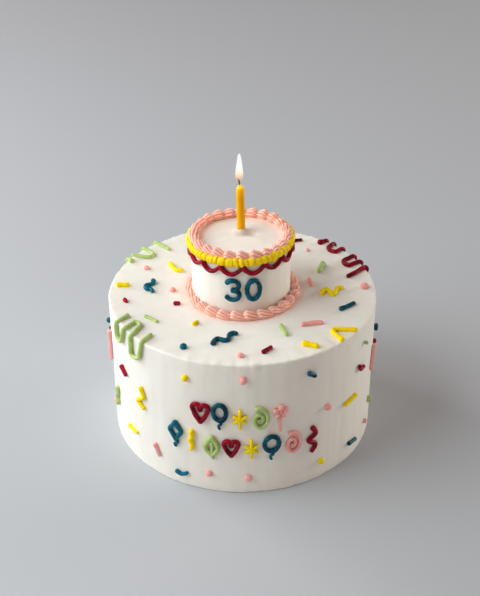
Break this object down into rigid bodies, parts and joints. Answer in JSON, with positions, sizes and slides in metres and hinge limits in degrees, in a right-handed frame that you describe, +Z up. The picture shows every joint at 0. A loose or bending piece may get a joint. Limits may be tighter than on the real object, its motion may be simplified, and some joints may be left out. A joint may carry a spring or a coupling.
{
  "type": "birthday cake with candle",
  "caption": "Two-tier round buttercream birthday cake: small top tier with shell, bead and scallop borders and a lit candle, piped numerals, party motifs and confetti strokes.",
  "frame": {"origin": "middle of the bottom tier's flat base", "axes": "+Z up, the front with the numerals and motifs faces -Y, +X to the right seen from the front"},
  "size_m": [0.2024, 0.2037, 0.2177],
  "materials": {
    "buttercream": "smooth matte buttercream",
    "shell_pink": "ridged star-tip buttercream",
    "pink_icing": "satin piped icing",
    "yellow_icing": "satin piped icing",
    "crimson_icing": "satin piped icing",
    "blue_icing": "satin piped icing",
    "green_icing": "satin piped icing",
    "candle_wax": "smooth satin wax",
    "charred_wick": "charred cotton",
    "flame_glow": "glowing gas"
  },
  "bodies": {
    "root": {"bottom_tier": "buttercream", "top_tier": "buttercream", "candle": "candle_wax", "wick": "charred_wick", "flame": "flame_glow", "rim_shell_border": "shell_pink", "foot_shell_border": "shell_pink", "bead_border": "yellow_icing", "swag_garland": "crimson_icing", "numeral_3": "blue_icing", "numeral_0": "blue_icing", "heart_crimson": "crimson_icing", "balloon_blue": "blue_icing", "burst_yellow": "yellow_icing", "swirl_green": "green_icing", "flower_pink": "pink_icing", "kite_blue": "blue_icing", "streamer_yellow": "yellow_icing", "leaf_green": "green_icing", "heart_small_crimson": "crimson_icing", "burst_low_yellow": "yellow_icing", "balloon_low_blue": "blue_icing", "swirl_pink": "pink_icing", "streamer_crimson": "crimson_icing", "zigzag_green_front": "green_icing", "zigzag_green_back": "green_icing", "zigzag_crimson_back": "crimson_icing", "check_yellow": "yellow_icing", "squiggle_blue": "blue_icing", "dash_yellow_left": "yellow_icing", "dash_green_left": "green_icing", "wave_blue": "blue_icing", "dash_crimson_front": "crimson_icing", "dash_green_right": "green_icing", "arch_pink": "pink_icing", "dash_yellow_right": "yellow_icing", "hook_yellow": "yellow_icing", "dash_blue_right": "blue_icing", "wave_yellow": "yellow_icing", "dash_pink_right": "pink_icing", "dash_green_back": "green_icing", "dash_crimson_back": "crimson_icing", "stripe_pink_left": "pink_icing", "dash_crimson_left": "crimson_icing", "squiggle_green": "green_icing", "lightning_yellow": "yellow_icing", "dash_yellow_low": "yellow_icing", "dash_pink_low": "pink_icing", "smile_blue": "blue_icing", "dash_blue_front": "blue_icing", "dash_yellow_side": "yellow_icing", "stripe_pink_right": "pink_icing", "dash_blue_low": "blue_icing"}
  },
  "joints": []
}
